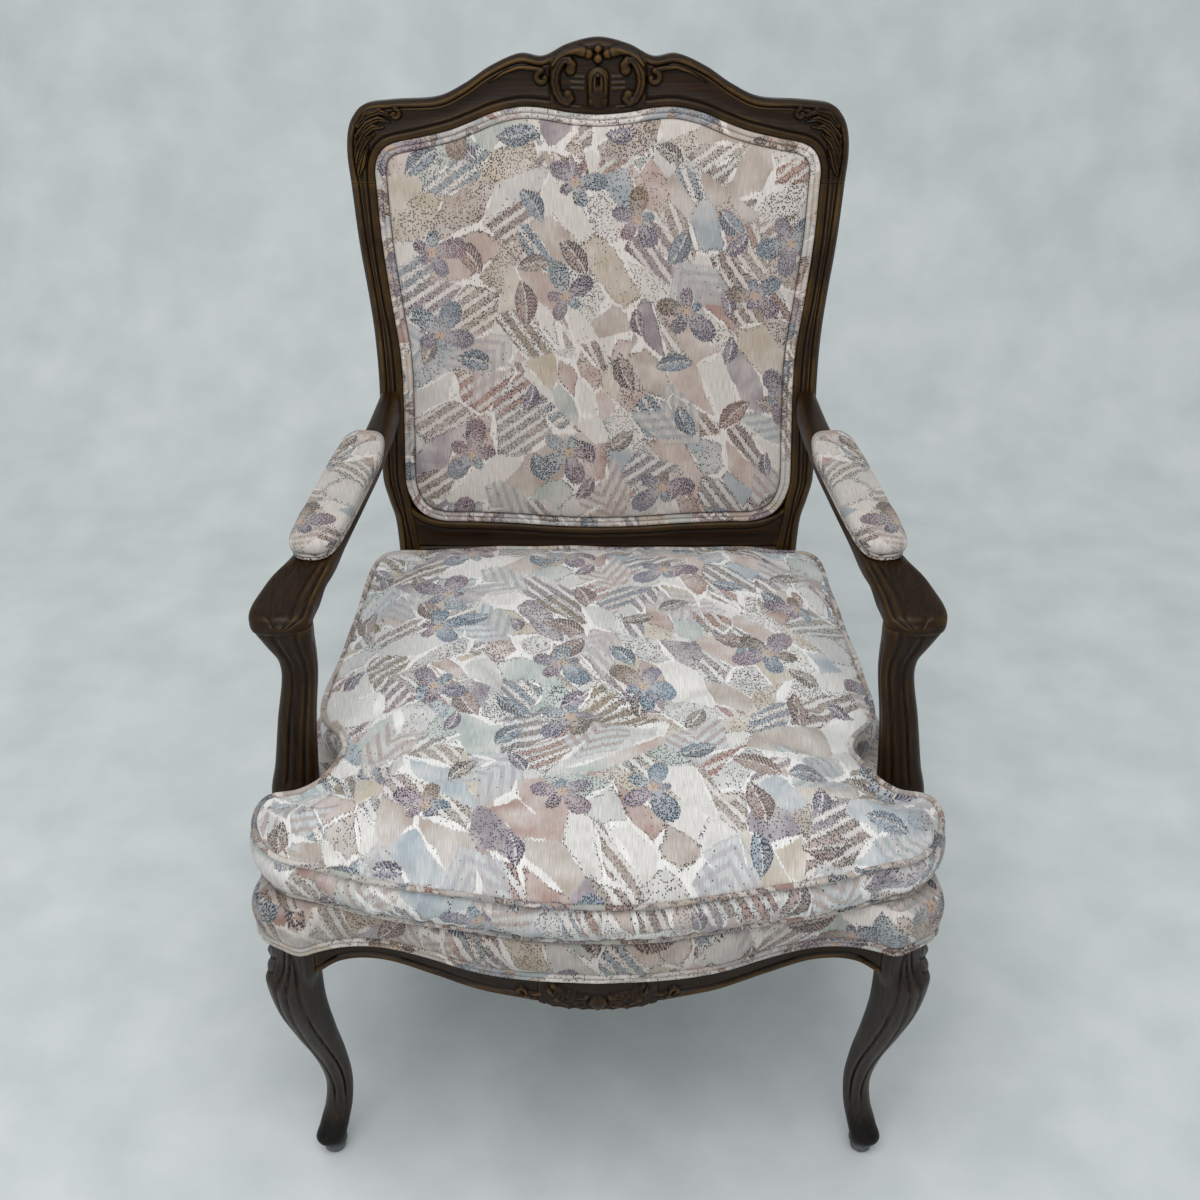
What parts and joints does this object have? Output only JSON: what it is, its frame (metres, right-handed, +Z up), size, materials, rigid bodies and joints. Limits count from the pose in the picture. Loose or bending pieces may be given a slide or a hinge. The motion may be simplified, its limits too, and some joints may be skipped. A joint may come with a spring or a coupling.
{
  "type": "armchair",
  "caption": "Open armchair with a carved dark wood frame, curved front legs, an upholstered back, padded arms and a loose seat cushion with ears, in a printed cotton.",
  "frame": {"origin": "on the floor, under the middle of the chair's box", "axes": "+Z up, the front looks along -Y, +X is the chair's right side as seen from the front"},
  "size_m": [0.6726, 0.7682, 1.015],
  "materials": {
    "walnut": "semi-gloss dark walnut stain under lacquer, edges rubbed lighter",
    "beech": "raw sawn wood",
    "fabric": "printed cotton in pale pink, cream, grey-blue and taupe, a little soiled",
    "webbing": "woven jute",
    "lining": "black cambric",
    "glide": "grey moulded plastic",
    "steel": "zinc-plated screws"
  },
  "bodies": {
    "root": {"arm_left": "walnut", "arm_pad_left": "fabric", "arm_pad_right": "fabric", "arm_pad_welt_left": "fabric", "arm_pad_welt_right": "fabric", "arm_right": "walnut", "arm_support_left": "walnut", "arm_support_right": "walnut", "back_lower_rail": "walnut", "back_pad": "fabric", "back_pad_welt": "fabric", "back_post_left": "walnut", "back_post_right": "walnut", "back_webbing": "webbing", "block_screw_front_1_left": "steel", "block_screw_front_1_right": "steel", "block_screw_front_2_left": "steel", "block_screw_front_2_right": "steel", "block_screw_rear_1_left": "steel", "block_screw_rear_1_right": "steel", "block_screw_rear_2_left": "steel", "block_screw_rear_2_right": "steel", "corner_block_front_left": "beech", "corner_block_front_right": "beech", "corner_block_rear_left": "beech", "corner_block_rear_right": "beech", "crest_rail": "walnut", "dust_cover": "lining", "front_leg_left": "walnut", "front_leg_right": "walnut", "glide_front_left": "glide", "glide_front_right": "glide", "glide_rear_left": "glide", "glide_rear_right": "glide", "outside_back_panel": "fabric", "outside_back_welt": "fabric", "seat_cushion": "fabric", "seat_deck_pad": "fabric", "seat_deck_welt": "fabric", "seat_front_rail": "walnut", "seat_rear_rail": "beech", "seat_side_rail_left": "walnut", "seat_side_rail_right": "walnut", "seat_webbing": "webbing"}
  },
  "joints": []
}
